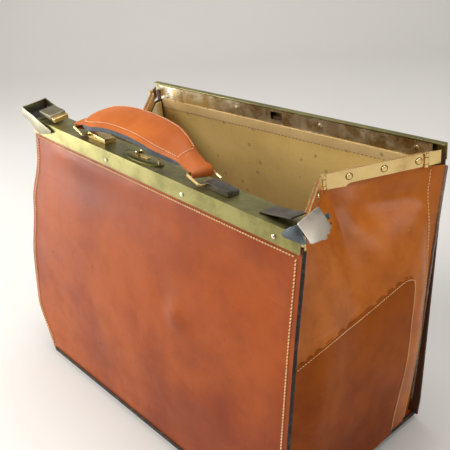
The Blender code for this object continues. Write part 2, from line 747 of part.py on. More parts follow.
def meshes_union(pieces):
    """The union of overlapping closed meshes as one mesh."""
    first = place("union_base", pieces[0][0], pieces[0][1], None, smooth=False)
    others = []
    for index, (mesh, matrix) in enumerate(pieces[1:]):
        other = place(f"union_{index}", mesh, matrix, None, CUTTERS, smooth=False)
        step = first.modifiers.new("join", "BOOLEAN")
        step.operation = "UNION"
        step.solver = "EXACT"
        step.object = other
        others.append(other)
    origin = first.matrix_world.copy()
    mesh = mesh_of(first)
    mesh.transform(origin)
    for other in others:
        bpy.data.objects.remove(other, do_unlink=True)
    return mesh


def lever(name, side, inner_x, length, low_y, high_y, rise, height, slot):
    """A thumb lever on the top plate, hinged at its inner end."""
    outline = [(0, 0), (length, 0), (length, height), (2 * MM, height), (0, height - 1 * MM)]
    mesh = prism_mesh([outline], -(high_y - low_y) / 2, (high_y - low_y) / 2)
    mesh.transform(UPRIGHT)
    origin = FRONT @ at(inner_x, (low_y + high_y) / 2, GAP)
    place(name, mirrored(mesh, side), origin @ Matrix.Rotation(-side * rise, 4, "Y"), slot)


def clasps():
    swing = math.radians(37)
    clasp_parts(1, "right", -swing, 13.7 * MM, -18 * MM, 4.6 * MM)
    clasp_parts(-1, "left", math.radians(10), 30 * MM, -3.5 * MM, 5.5 * MM)
    rail = bpy.data.objects["front_rail"]
    end_gap = [(cylinder_mesh(PIN_R + GAP, -6 * MM, 45 * MM, 12),
                at(side * CLASP_PIN_X, 0, CLASP_PIN_Z) @ ALONG_Y) for side in (1, -1)]
    cut(rail, joined(end_gap))
    lever("clasp_lever_right", 1, 155 * MM, 37 * MM, 8 * MM, 27 * MM, math.radians(9), 1.6 * MM,
          "dark_steel")
    lever("clasp_lever_left", -1, -171 * MM, 26 * MM, 6 * MM, 25 * MM, 0.0, 6 * MM, "dark_steel")


# ---------------------------------------------------------------- assembly

clear_scene()
PARTS = collection("doctor_bag")
CUTTERS = collection("cutters")

rail_holes, lining_y = front_rail_parts()
rear_rail_parts()
front_panel_parts(lining_y, rail_holes)
rear_panel_parts()
base_parts()
for sign, word, shape in ((1, "right", RIGHT), (-1, "left", LEFT)):
    side_parts(sign, word, shape)
    gusset_parts(sign, word, shape)
handle_mount("handle_mount_left", RING_PIVOT_X[0], "bright_brass")
handle_mount("handle_mount_right", RING_PIVOT_X[1], "dark_steel")
ring("handle_ring_left", RING_PIVOT_X[0])
ring("handle_ring_right", RING_PIVOT_X[1])
handle_parts()
lock_parts()
clasps()
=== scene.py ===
"""Looks of the open doctor bag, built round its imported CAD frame."""

import math

import bmesh
import bpy
from mathutils import Euler, Matrix, Vector, noise


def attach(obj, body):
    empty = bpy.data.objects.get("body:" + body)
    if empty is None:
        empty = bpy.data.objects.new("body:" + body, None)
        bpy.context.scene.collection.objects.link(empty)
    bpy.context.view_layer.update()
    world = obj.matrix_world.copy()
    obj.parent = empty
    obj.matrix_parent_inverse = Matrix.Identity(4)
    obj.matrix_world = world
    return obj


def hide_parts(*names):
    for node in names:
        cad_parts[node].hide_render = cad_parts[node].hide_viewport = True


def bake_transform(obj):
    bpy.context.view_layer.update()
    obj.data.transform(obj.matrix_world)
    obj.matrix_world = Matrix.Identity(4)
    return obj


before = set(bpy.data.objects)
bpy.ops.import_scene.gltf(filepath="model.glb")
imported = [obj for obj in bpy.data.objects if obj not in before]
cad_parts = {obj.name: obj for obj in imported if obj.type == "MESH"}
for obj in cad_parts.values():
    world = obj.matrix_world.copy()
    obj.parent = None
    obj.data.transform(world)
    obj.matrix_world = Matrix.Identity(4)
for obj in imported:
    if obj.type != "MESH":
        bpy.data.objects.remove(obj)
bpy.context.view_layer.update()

MM = 0.001
RAIL_TOP_Z = 320 * MM
FRONT_Y = -75 * MM  # front rail's outer top edge
LEAN = math.radians(7.2)  # the front leans back as it rises
BASE_Z = 6.2 * MM
BASE_REAR_Y = 111.5 * MM
PANEL_HALF = 211.5 * MM  # half the front leather's width
EDGE_X = 207.5 * MM  # where the ends meet the front and rear leather
LINK = 104.5 * MM  # side link between its pins
LINK_HEIGHT = 14 * MM
PIVOT_X = 200.2 * MM
RING_PIVOT_X = (-108 * MM, 84 * MM)
RING_Y = 17 * MM
RING_TOP = Vector((-19.6, 9.8)) * MM  # ring's upper bar from its pivot's x and the plate
LOCK_X, LOCK_Y = -18 * MM, 15 * MM
SIDE_WORDS = ((1, "right"), (-1, "left"))
FRONT = Matrix.Translation((0, FRONT_Y, RAIL_TOP_Z)) @ Matrix.Rotation(-LEAN, 4, "X")
REAR = (Matrix.Translation(Vector((-7.2, 121.8, 320)) * MM)
        @ Matrix.Rotation(math.radians(3.86), 4, "Z") @ Matrix.Rotation(math.radians(-1.94), 4, "Y"))
FRONT_PIVOT = (13 * MM, -14.5 * MM)  # end pins of the side links, (y, z) from each rail
REAR_PIVOT = (-16.5 * MM, -12.5 * MM)


# ---------------- materials

def tree_of(name):
    """A new material and its empty node tree."""
    made = bpy.data.materials.new(name)
    made.use_nodes = True
    made.node_tree.nodes.clear()
    return made, made.node_tree


def add(tree, kind, settings=None, **inputs):
    """A shader node. i3 stands for its input number 3, and an output socket given as a value is linked."""
    node = tree.nodes.new(kind)
    for key, value in (settings or {}).items():
        setattr(node, key, value)
    for key, value in inputs.items():
        name = key.replace("_", " ")
        socket = node.inputs[int(key[1:])] if key[1:].isdigit() else node.inputs[name]
        if isinstance(value, bpy.types.NodeSocket):
            tree.links.new(value, socket)
        else:
            socket.default_value = value
    return node


def colour(red, green, blue):
    """Display red, green and blue, from 0 to 255, as the linear colour that a shader takes."""
    out = []
    for value in (red, green, blue):
        value /= 255
        out.append(value / 12.92 if value <= 0.04045 else ((value + 0.055) / 1.055) ** 2.4)
    return (*out, 1)


def place_of(tree):
    return add(tree, "ShaderNodeTexCoord").outputs["Object"]


def speckle(tree, place, scale, detail=4.0, rough=0.55, stretch=None):
    """Noise from 0 to 1."""
    if stretch:
        place = add(tree, "ShaderNodeMapping", Vector=place, Scale=stretch).outputs[0]
    made = add(tree, "ShaderNodeTexNoise", Vector=place, Scale=scale, Detail=detail, Roughness=rough)
    return made.outputs["Fac"]


def ramp(tree, value, low, high, bottom=0.0, top=1.0):
    """A smooth rise from bottom to top as value goes from low to high."""
    made = add(tree, "ShaderNodeMapRange", {"clamp": True, "interpolation_type": "SMOOTHSTEP"},
               i0=value, i1=low, i2=high, i3=bottom, i4=top)
    return made.outputs[0]


def mixed(tree, amount, first, second):
    made = add(tree, "ShaderNodeMix", {"data_type": "RGBA"}, i0=amount, i6=first, i7=second)
    return made.outputs[2]


def bumped(tree, height, strength, distance, normal=None):
    made = add(tree, "ShaderNodeBump", Strength=strength, Distance=distance, Height=height)
    if normal:
        tree.links.new(normal, made.inputs["Normal"])
    return made.outputs[0]


def finish_material(tree, base, roughness, normal, **shader_inputs):
    shader = add(tree, "ShaderNodeBsdfPrincipled", **shader_inputs)
    for name, value in (("Base Color", base), ("Roughness", roughness), ("Normal", normal)):
        if value is not None:
            if isinstance(value, bpy.types.NodeSocket):
                tree.links.new(value, shader.inputs[name])
            else:
                shader.inputs[name].default_value = value
    out = add(tree, "ShaderNodeOutputMaterial")
    tree.links.new(shader.outputs[0], out.inputs[0])


def leather(name, base, dark, worn, gloss=0.36, grain=0.10, coat=0.04, spec=0.14):
    """Polished hide: cloudy colour, pale scuffs, pores and fine creases."""
    made, tree = tree_of(name)
    place = place_of(tree)
    clouds = ramp(tree, speckle(tree, place, 7, 5, 0.6), 0.36, 0.68)
    tint = mixed(tree, clouds, base, dark)
    mottled = ramp(tree, speckle(tree, place, 46, 6, 0.65), 0.42, 0.72, 0, 0.35)
    tint = mixed(tree, mottled, tint, dark)
    scuffs = ramp(tree, speckle(tree, place, 150, 8, 0.75), 0.62, 0.72, 0, 0.5)
    tint = mixed(tree, scuffs, tint, worn)
    lines = ramp(tree, speckle(tree, place, 30, 3, 0.5, (1, 1, 9)), 0.68, 0.73, 0, 0.10)
    tint = mixed(tree, lines, tint, worn)
    pores = add(tree, "ShaderNodeTexVoronoi", Vector=place, Scale=950.0).outputs["Distance"]
    creases = speckle(tree, place, 420, 5, 0.6)
    normal = bumped(tree, pores, grain, 0.0004)
    normal = bumped(tree, creases, grain * 0.8, 0.0006, normal)
    normal = bumped(tree, speckle(tree, place, 38, 3, 0.5), 0.10, 0.004, normal)
    rough = ramp(tree, speckle(tree, place, 24, 7, 0.7), 0.3, 0.75, gloss - 0.07, gloss + 0.14)
    finish_material(tree, tint, rough, normal, Coat_Weight=coat, Coat_Roughness=0.3,
                    Specular_IOR_Level=spec)
    return made


def suede(name, base, dark, spot):
    """Napped lining with stains and small spots."""
    made, tree = tree_of(name)
    place = place_of(tree)
    clouds = ramp(tree, speckle(tree, place, 10, 5, 0.6), 0.35, 0.7, 0, 0.75)
    tint = mixed(tree, clouds, base, dark)
    nap = ramp(tree, speckle(tree, place, 700, 3, 0.6), 0.35, 0.7, 0, 0.3)
    tint = mixed(tree, nap, tint, dark)
    cells = add(tree, "ShaderNodeTexVoronoi", Vector=place, Scale=62.0).outputs["Distance"]
    spots = ramp(tree, cells, 0.10, 0.19, 0.5, 0)
    tint = mixed(tree, spots, tint, spot)
    stains = ramp(tree, speckle(tree, place, 34, 6, 0.7), 0.62, 0.74, 0, 0.35)
    tint = mixed(tree, stains, tint, spot)
    normal = bumped(tree, speckle(tree, place, 1300, 3, 0.6), 0.25, 0.0006)
    normal = bumped(tree, speckle(tree, place, 30, 3, 0.5), 0.12, 0.004, normal)
    finish_material(tree, tint, 0.9, normal, Sheen_Weight=0.35, Sheen_Roughness=0.5,
                    Specular_IOR_Level=0.25)
    return made


def metal(name, base, dull, smooth_at, rough_at, brushed=(1, 1, 1), pits=0.35, tarnish=(0.42, 0.66)):
    """Old plated sheet metal: tarnish clouds, fine brushing and pits."""
    made, tree = tree_of(name)
    place = place_of(tree)
    clouds = ramp(tree, speckle(tree, place, 26, 6, 0.65), tarnish[0], tarnish[1])
    tint = mixed(tree, clouds, base, dull)
    fine = ramp(tree, speckle(tree, place, 240, 6, 0.7), 0.55, 0.72, 0, pits)
    tint = mixed(tree, fine, tint, dull)
    rough = ramp(tree, speckle(tree, place, 60, 6, 0.7), 0.32, 0.72, smooth_at, rough_at)
    normal = bumped(tree, speckle(tree, place, 320, 4, 0.6, brushed), 0.08, 0.0005)
    normal = bumped(tree, speckle(tree, place, 70, 3, 0.5), 0.05, 0.002, normal)
    finish_material(tree, tint, rough, normal, Metallic=1.0)
    return made


def thread(name, base, dark):
    made, tree = tree_of(name)
    place = place_of(tree)
    tint = mixed(tree, ramp(tree, speckle(tree, place, 90, 5), 0.35, 0.7, 0, 0.7), base, dark)
    twist = add(tree, "ShaderNodeTexWave", Vector=place, Scale=900.0).outputs["Fac"]
    finish_material(tree, tint, 0.75, bumped(tree, twist, 0.4, 0.0003), Sheen_Weight=0.3)
    return made


def raw_edge(name, base, pale, flecks):
    """Cut or dyed leather edge with worn pale fibres."""
    made, tree = tree_of(name)
    place = place_of(tree)
    worn = ramp(tree, speckle(tree, place, 170, 7, 0.75), 0.5, 0.7, 0, flecks)
    tint = mixed(tree, worn, base, pale)
    normal = bumped(tree, speckle(tree, place, 420, 5, 0.7), 0.5, 0.0008)
    finish_material(tree, tint, 0.7, normal, Specular_IOR_Level=0.4)
    return made


FRONT_HIDE = leather("cognac_hide", colour(160, 74, 16), colour(124, 48, 8), colour(196, 112, 56),
                     gloss=0.34, spec=0.2)
REAR_HIDE = leather("cognac_hide_rear", colour(140, 62, 16), colour(100, 40, 8), colour(180, 110, 60))
SIDE_HIDE = leather("tan_hide", colour(178, 98, 30), colour(126, 58, 8), colour(206, 140, 76),
                    gloss=0.34, spec=0.2)
PATCH_HIDE = leather("patch_hide", colour(146, 72, 12), colour(112, 46, 4), colour(186, 116, 56),
                     gloss=0.42, spec=0.07)
GRIP_HIDE = leather("grip_hide", colour(184, 102, 44), colour(156, 76, 28), colour(206, 150, 104),
                    gloss=0.5, grain=0.2, coat=0.1)
LINING = suede("khaki_suede", colour(206, 174, 100), colour(176, 142, 68), colour(110, 82, 40))
BINDING = suede("binding_suede", colour(214, 184, 126), colour(184, 148, 88), colour(120, 84, 44))
BOARD = suede("base_board_cover", colour(150, 122, 72), colour(116, 90, 50), colour(80, 60, 34))
AGED = metal("aged_brass_sheet", colour(152, 145, 92), colour(124, 118, 72), 0.34, 0.46,
             brushed=(1, 8, 8))
BRIGHT = metal("bright_brass_sheet", colour(230, 200, 138), colour(190, 156, 96), 0.26, 0.42,
               brushed=(1, 8, 8), pits=0.2, tarnish=(0.5, 0.8))
MIRROR = metal("polished_strip", colour(250, 242, 214), colour(206, 184, 138), 0.24, 0.46,
               brushed=(1, 3, 3), pits=0.2, tarnish=(0.5, 0.62))
STEEL = metal("dark_steel_sheet", colour(120, 114, 104), colour(84, 80, 74), 0.3, 0.5,
              brushed=(8, 1, 8))
PALE_STEEL = metal("worn_plate", colour(190, 180, 166), colour(150, 140, 128), 0.42, 0.6,
                   brushed=(8, 8, 1), pits=0.2, tarnish=(0.55, 0.8))
BLUE_STEEL = metal("blue_grey_sheet", colour(104, 112, 116), colour(74, 80, 84), 0.34, 0.5)
STONE_STEEL = metal("worn_lever_sheet", colour(150, 142, 118), colour(112, 104, 84), 0.4, 0.55)
OLIVE_STEEL = metal("olive_grey_sheet", colour(170, 164, 138), colour(128, 122, 100), 0.34, 0.5)
# Painted shade: a near-black finish for the shadow rings round the rivets and the dark inside of the clasps.
PAINTED_SHADE = raw_edge("painted_shade", colour(26, 24, 22), colour(60, 56, 50), 0.3)
CREAM = thread("cream_thread", colour(240, 206, 150), colour(214, 168, 104))
PALE_THREAD = thread("grip_thread", colour(235, 186, 140), colour(200, 130, 84))
DARK_THREAD = thread("dark_thread", colour(92, 66, 36), colour(60, 42, 24))
WELT = raw_edge("black_welt", colour(34, 24, 18), colour(120, 108, 98), 0.4)
FLESH = raw_edge("flesh_side", colour(70, 44, 26), colour(104, 70, 42), 0.5)
GREY_EDGE = raw_edge("grey_edge", colour(120, 104, 94), colour(190, 176, 164), 0.6)
BLUE_EDGE = raw_edge("blue_grey_edge", colour(62, 66, 72), colour(116, 118, 120), 0.5)


# ---------------- mesh helpers

def ease(t):
    """0 up to t = 0, 1 from t = 1, and smooth between."""
    t = min(1.0, max(0.0, t))
    return t * t * (3 - 2 * t)


def track(value, table):
    """A smooth value through (position, amount) pairs."""
    if value <= table[0][0]:
        return table[0][1]
    for (a, low), (b, high) in zip(table, table[1:]):
        if value <= b:
            return low + (high - low) * ease((value - a) / (b - a))
    return table[-1][1]


def hill(distance, width):
    """A bell of height 1 about distance 0."""
    return math.exp(-(distance / width) ** 2)


def new_object(name, verts, faces, *materials, angle=40, closed=False):
    """A mesh object, sharp over the angle. A closed one gets its faces turned outward."""
    mesh = bpy.data.meshes.new(name)
    mesh.from_pydata([tuple(v) for v in verts], [], faces)
    if closed:
        work = bmesh.new()
        work.from_mesh(mesh)
        bmesh.ops.recalc_face_normals(work, faces=work.faces)
        work.to_mesh(mesh)
        work.free()
    for material in materials:
        mesh.materials.append(material)
    mesh.shade_smooth()
    mesh.set_sharp_from_angle(angle=math.radians(angle))
    obj = bpy.data.objects.new(name, mesh)
    bpy.context.scene.collection.objects.link(obj)
    return obj


def applied(obj, angle=40):
    """The object with its modifiers made into mesh."""
    bpy.context.view_layer.update()
    graph = bpy.context.evaluated_depsgraph_get()
    mesh = bpy.data.meshes.new_from_object(obj.evaluated_get(graph))
    obj.modifiers.clear()
    obj.data = mesh
    mesh.shade_smooth()
    mesh.set_sharp_from_angle(angle=math.radians(angle))
    return obj


def shell(name, point, across, down, thickness, outer, inner, edge, flip=False):
    """A sheet whose outer face is point(u, v), u and v from 0 to 1."""
    verts = [point(i / across, j / down) for j in range(down + 1) for i in range(across + 1)]
    faces = []
    row = across + 1
    for j in range(down):
        for i in range(across):
            a = j * row + i
            quad = (a, a + row, a + row + 1, a + 1)
            faces.append(quad[::-1] if flip else quad)
    obj = new_object(name, verts, faces, outer, inner, edge)
    solid = obj.modifiers.new("thickness", "SOLIDIFY")
    solid.thickness = thickness
    solid.offset = -1
    solid.material_offset = 1
    solid.material_offset_rim = 2
    return applied(obj)


def loft(name, loops, material, closed_ends=True, angle=40):
    """A skin over closed loops of points, each with as many."""
    size = len(loops[0])
    verts = [p for loop in loops for p in loop]
    faces = []
    for k in range(len(loops) - 1):
        for i in range(size):
            a, b = k * size + i, k * size + (i + 1) % size
            faces.append((a, b, b + size, a + size))
    if closed_ends:
        faces.append(tuple(range(size))[::-1])
        faces.append(tuple((len(loops) - 1) * size + i for i in range(size)))
    return new_object(name, verts, faces, material, angle=angle, closed=True)


def section_tube(name, path, ups, outline, material):
    """An outline of (side, up) points run along a path, with the up direction given at each point."""
    loops = []
    for i, point in enumerate(path):
        ahead = (path[min(i + 1, len(path) - 1)] - path[max(i - 1, 0)]).normalized()
        side = ahead.cross(ups[i]).normalized()
        up = side.cross(ahead)
        loops.append([point + side * a + up * b for a, b in outline])
    return loft(name, loops, material)


def round_outline(width, height, corner, steps=3):
    """A rounded rectangle of (side, up) points about the origin."""
    points = []
    for sx, sy, start in ((1, 1, 0), (-1, 1, 90), (-1, -1, 180), (1, -1, 270)):
        for k in range(steps + 1):
            a = math.radians(start + 90 * k / steps)
            points.append((sx * (width / 2 - corner) + corner * math.cos(a),
                           sy * (height / 2 - corner) + corner * math.sin(a)))
    return points


# Turns for a prism: UPRIGHT takes an (x, z) outline and runs it along -Y, and PROFILE takes a (y, z)
# outline and runs it along X.
UPRIGHT = Matrix(((1, 0, 0, 0), (0, 0, -1, 0), (0, 1, 0, 0), (0, 0, 0, 1)))
PROFILE = Matrix(((0, 0, 1, 0), (1, 0, 0, 0), (0, 1, 0, 0), (0, 0, 0, 1)))


def scaled(outline):
    """An outline in millimetres as metres."""
    return [(a * MM, b * MM) for a, b in outline]


def prism(name, outline, low, high, material, matrix=Matrix(), bevel=0.0, segments=2):
    """An outline of (x, y) points standing from low to high along Z."""
    size = len(outline)
    verts = [Vector((x, y, z)) for z in (low, high) for x, y in outline]
    faces = [tuple(range(size))[::-1], tuple(range(size, 2 * size))]
    faces += [(i, (i + 1) % size, size + (i + 1) % size, size + i) for i in range(size)]
    obj = new_object(name, verts, faces, material, angle=30, closed=True)
    if bevel:
        made = obj.modifiers.new("bevel", "BEVEL")
        made.width = bevel
        made.segments = segments
        made.limit_method = "ANGLE"
        applied(obj, 50)
    obj.data.transform(matrix)
    return obj


def merged(name, objects):
    """Several objects as one, keeping their materials."""
    verts, faces, slots, materials = [], [], [], []
    for obj in objects:
        offset = len(verts)
        verts += [v.co.copy() for v in obj.data.vertices]
        used = []
        for material in obj.data.materials:
            if material not in materials:
                materials.append(material)
            used.append(materials.index(material))
        for face in obj.data.polygons:
            faces.append([offset + i for i in face.vertices])
            slots.append(used[face.material_index])
        bpy.data.objects.remove(obj, do_unlink=True)
    made = new_object(name, verts, faces, *materials)
    made.data.polygons.foreach_set("material_index", slots)
    return made


THREAD_SIDES = 6
# Along one stitch: share of its length, share of its radius, and lift in radii.
THREAD_STATIONS = ((-0.5, 0.25, -0.5), (-0.36, 0.85, 0.35), (0, 1, 0.65), (0.36, 0.85, 0.35),
                   (0.5, 0.25, -0.5))
THREAD_SLANT = 0.16


def stitches(name, path, normals, material, pitch, length, radius):
    """A row of short threads along a path of points, each lying on the surface."""
    lengths = [0.0]
    for a, b in zip(path, path[1:]):
        lengths.append(lengths[-1] + (b - a).length)
    verts, faces = [], []
    k = 0
    for n in range(int(lengths[-1] / pitch)):
        mark = (n + 0.5) * pitch
        while k < len(path) - 2 and lengths[k + 1] < mark:
            k += 1
        share = (mark - lengths[k]) / max(lengths[k + 1] - lengths[k], 1e-9)
        centre = path[k].lerp(path[k + 1], share)
        along = (path[k + 1] - path[k]).normalized()
        up = normals[k].lerp(normals[k + 1], share).normalized()
        side = along.cross(up).normalized()
        along = (along + side * THREAD_SLANT).normalized()
        start = len(verts)
        for reach, size, lift in THREAD_STATIONS:
            for j in range(THREAD_SIDES):
                a = math.pi * 2 * j / THREAD_SIDES
                offset = side * math.cos(a) * size + up * (math.sin(a) * size + lift)
                verts.append(centre + along * reach * length + offset * radius)
        for ring in range(len(THREAD_STATIONS) - 1):
            for j in range(THREAD_SIDES):
                a = start + ring * THREAD_SIDES + j
                b = start + ring * THREAD_SIDES + (j + 1) % THREAD_SIDES
                faces.append((a, b, b + THREAD_SIDES, a + THREAD_SIDES))
        last = start + (len(THREAD_STATIONS) - 1) * THREAD_SIDES
        faces.append(tuple(range(start, start + THREAD_SIDES))[::-1])
        faces.append(tuple(range(last, last + THREAD_SIDES)))
    return new_object(name, verts, faces, material)


def surface_row(point, places, lift=0.0):
    """Points and outward normals of a surface at a list of (u, v) places."""
    path, normals = [], []
    step = 0.004
    for u, v in places:
        middle = point(u, v)
        du = point(u + step, v) - point(u - step, v)
        dv = point(u, v + step) - point(u, v - step)
        normal = dv.cross(du).normalized()
        normals.append(normal)
        path.append(middle + normal * lift)
    return path, normals


# ---------------- the front's lean, and pieces baked in place


def front_y(z):
    return FRONT_Y - (RAIL_TOP_Z - z) * math.tan(LEAN)


def follow_mouth(obj, *nodes):
    """obj with its placement baked into its mesh, and the named CAD parts hidden."""
    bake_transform(obj)
    if nodes:
        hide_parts(*nodes)
    return obj


# ---------------- front leather

# How far the leather bulges out past the left end, by depth below the rail's top.
LEFT_SWELL = ((0.045, 0), (0.11, 0.0165), (0.19, 0.0275), (0.25, 0.0255), (0.3155, -0.002))
PANEL_TOP, PANEL_LOW = 11 * MM, 315 * MM


def front_point(x, depth, sink=0.0):
    """Outer face of the front leather at x, depth below the rail's top edge."""
    belly = 6 * MM * ease((depth - 0.018) / 0.1) * ease((0.312 - depth) / 0.09)
    belly *= math.cos(math.pi * x / 0.47) ** 0.7
    belly += 1.3 * MM * hill(depth - 0.030, 0.011) * ease((0.19 - abs(x)) / 0.03)
    bump = 3.0 * MM * hill(math.hypot(x - 0.058, depth - 0.142), 0.0125)
    bump -= 1.8 * MM * hill(math.hypot(x - 0.036, depth - 0.128), 0.017)
    fold = noise.noise(Vector((x * 6.5, depth * 8, 0.4))) * 3.2 * MM * ease((depth - 0.02) / 0.06)
    fold *= ease((0.21 - abs(x)) / 0.03) * ease((0.31 - depth) / 0.04)
    pucker = 0.5 * MM * hill(x - 0.2085, 0.004)
    wide = x - track(depth, LEFT_SWELL) * ease((0.04 - x) / 0.25) ** 1.2
    y = 1.8 * MM - belly - bump - fold + pucker + sink
    curl = ease((depth - 0.300) / 0.016)
    return FRONT @ Vector((wide, y + 2.0 * MM * curl, -depth))


def front_uv(u, v):
    return front_point(-PANEL_HALF + 2 * PANEL_HALF * u, PANEL_TOP + (PANEL_LOW - PANEL_TOP) * v)


front_skin = shell("front_leather", front_uv, 84, 64, 2.2 * MM, FRONT_HIDE, SIDE_HIDE, WELT)
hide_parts("front_panel")
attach(front_skin, "bag_body")


def front_inside(u, v):
    return front_point((-198 + 396 * u) * MM, (20 + 286 * v) * MM, 5.1 * MM)


front_suede = shell("front_suede", front_inside, 60, 44, 0.8 * MM, LINING, LINING, LINING)
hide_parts("front_lining")
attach(front_suede, "bag_body")


def front_stitching():
    """Stitches under the rail, then down either side."""
    under_rail = [(x * MM, 20.5 * MM) for x in range(-204, 205, 6)]
    sides = [[(x * MM, depth * MM) for depth in range(22, 308, 5)] for x in (205.5, -205.5)]
    rows = []
    for places in (under_rail, *sides):
        uv = [((x + PANEL_HALF) / (2 * PANEL_HALF), (depth - PANEL_TOP) / (PANEL_LOW - PANEL_TOP))
              for x, depth in places]
        path, normals = surface_row(front_uv, uv, 0.25 * MM)
        rows.append(stitches("row", path, normals, CREAM, 3.4 * MM, 2.5 * MM, 0.8 * MM))
    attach(merged("front_stitching", rows), "bag_body")


front_stitching()


# ---------------- gussets

def side_geometry(side):
    """Front pin, rear pin and knee of one end's links, and the direction of the pins' axes."""
    front = Vector((side * PIVOT_X, FRONT_Y + FRONT_PIVOT[0], RAIL_TOP_Z + FRONT_PIVOT[1]))
    rear = REAR @ Vector((side * PIVOT_X, *REAR_PIVOT))
    span = rear - front
    along = span.normalized()
    normal = Vector((side, 0, 0)).cross(along) * side
    normal = (normal - along * normal.dot(along)).normalized()
    inward = normal.cross(along) * side
    knee = (front + rear) / 2 + inward * math.sqrt(LINK ** 2 - (span.length / 2) ** 2)
    return front, rear, knee, normal


def link_frame(origin, towards, normal):
    """A link's frame, with X from its end pin to the knee and Z along the pins."""
    z = normal.normalized()
    y = z.cross(towards - origin).normalized()
    rotation = Matrix((y.cross(z), y, z)).transposed().to_4x4()
    return Matrix.Translation(origin) @ rotation


SIDES = {side: side_geometry(side) for side, _ in SIDE_WORDS}


def gusset_top(side, share):
    """The folded upper edge under the side links."""
    front, rear, knee, _ = SIDES[side]
    drop = Vector((0, 0, -LINK_HEIGHT / 2 - 0.6 * MM))
    inside = Vector((-side, 0, 0))
    edge = side * EDGE_X
    high_front = Vector((edge, FRONT_Y + 5.8 * MM, front.z)) + drop
    high_rear = REAR @ Vector((edge, -1.8 * MM, REAR_PIVOT[1])) + drop
    high_rear.x = edge
    nodes = [high_front, front + drop + inside * 3 * MM, knee + drop + inside * 2 * MM,
             rear + drop + inside * 3 * MM, high_rear]
    y = high_front.y + (high_rear.y - high_front.y) * share
    for a, b in zip(nodes, nodes[1:]):
        if y <= b.y or b is nodes[-1]:
            return a.lerp(b, min(1.2, max(-0.2, (y - a.y) / (b.y - a.y))))
    return nodes[-1]


def gusset_point(side, s, t, sink=0.0):
    """Outer face of one end of the bag, s from front to rear and t from top to bottom."""
    start = gusset_top(side, s)
    low_z = BASE_Z + 1.0 * MM
    end = Vector((side * 206 * MM, 0, low_z))
    end.y = front_y(low_z) + 6.5 * MM + (BASE_REAR_Y - 1.0 * MM - front_y(low_z) - 6.5 * MM) * s
    p = start.lerp(end, t)
    fall = min(1.0, max(0.0, t / 0.62))
    p.x = start.x + (end.x - start.x) * (1 - (1 - fall) ** 2.1)
    inner = ease(s / 0.16) * ease((1 - s) / 0.16)
    belly = 9 * MM * ease(t / 0.45) * ease((1 - t) / 0.4)
    ridge = 4 * MM * hill(s - (0.44 + 0.9 * t), 0.10) * ease(t / 0.06) * ease((0.52 - t) / 0.25)
    hollow = 7 * MM * hill(t - (0.075 + 0.02 * s), 0.05) * ease((s - 0.5) / 0.18)
    front_roll = 3.5 * MM * hill(s - (0.36 - 0.35 * t), 0.11) * ease(t / 0.1) * ease((0.7 - t) / 0.3)
    wave = noise.noise(Vector((s * 2.2, t * 2.4, side * 2.7))) * 4 * MM * ease(t / 0.2)
    out = (belly + ridge - hollow + front_roll + wave) * inner
    tuck = (2.0 + 6.0 * t) * MM * ease((s - 0.955 + 0.06 * t) / 0.05)
    p.x += side * (out - tuck - sink)
    if side < 0:
        depth = (RAIL_TOP_Z - p.z) / math.cos(LEAN)
        swell = track(depth, LEFT_SWELL)
        p.x -= swell * (1 - s) ** 1.3 + 0.3 * swell * 4 * s * (1 - s)
    return p


PATCH_PLANE = Vector((0.7937, 0.0668, -0.6047))  # the patch's upper edge is cut along this plane
PATCH_PLANE_AT = 44.06 * MM
PATCH_REAR = 0.80  # where its rear edge runs, as a share of the end's depth
PATCH_CORNER = 0.09
CUT_STEPS = 50


def cut_height(s):
    """How far down the right end's surface meets the patch's cut."""
    low, high = 0.1, 0.8
    for _ in range(20):
        middle = (low + high) / 2
        if PATCH_PLANE.dot(gusset_point(1, s, middle)) < PATCH_PLANE_AT:
            low = middle
        else:
            high = middle
    return low


CUT_HEIGHTS = [cut_height(k / CUT_STEPS) for k in range(CUT_STEPS + 2)]


def patch_top(s):
    """How far down the end its patch starts, with a rounded rear corner."""
    place = min(max(s, 0.0), 1.0) * CUT_STEPS
    k = int(place)
    straight = CUT_HEIGHTS[k] + (CUT_HEIGHTS[k + 1] - CUT_HEIGHTS[k]) * (place - k)
    corner = min(1.0, max(0.0, (s - PATCH_REAR + PATCH_CORNER) / PATCH_CORNER))
    return straight + 0.045 * (1 - math.sqrt(1 - corner * corner))


def inside_patch(s, t):
    """How far inside the stitched reinforcing patch a place is, as a share of the end."""
    return min(PATCH_REAR - s, (t - patch_top(s)) * 1.5, 1.0)


def gusset_skin(side, s, t):
    """The end's outer face, raised over the patch and pressed in round its edge."""
    p = gusset_point(side, s, t)
    margin = inside_patch(s, t)
    lift = 1.1 * MM * ease(margin / 0.012 + 0.5)
    groove = 0.8 * MM * hill(margin + 0.004, 0.006)
    p.x += side * (lift - groove)
    return p


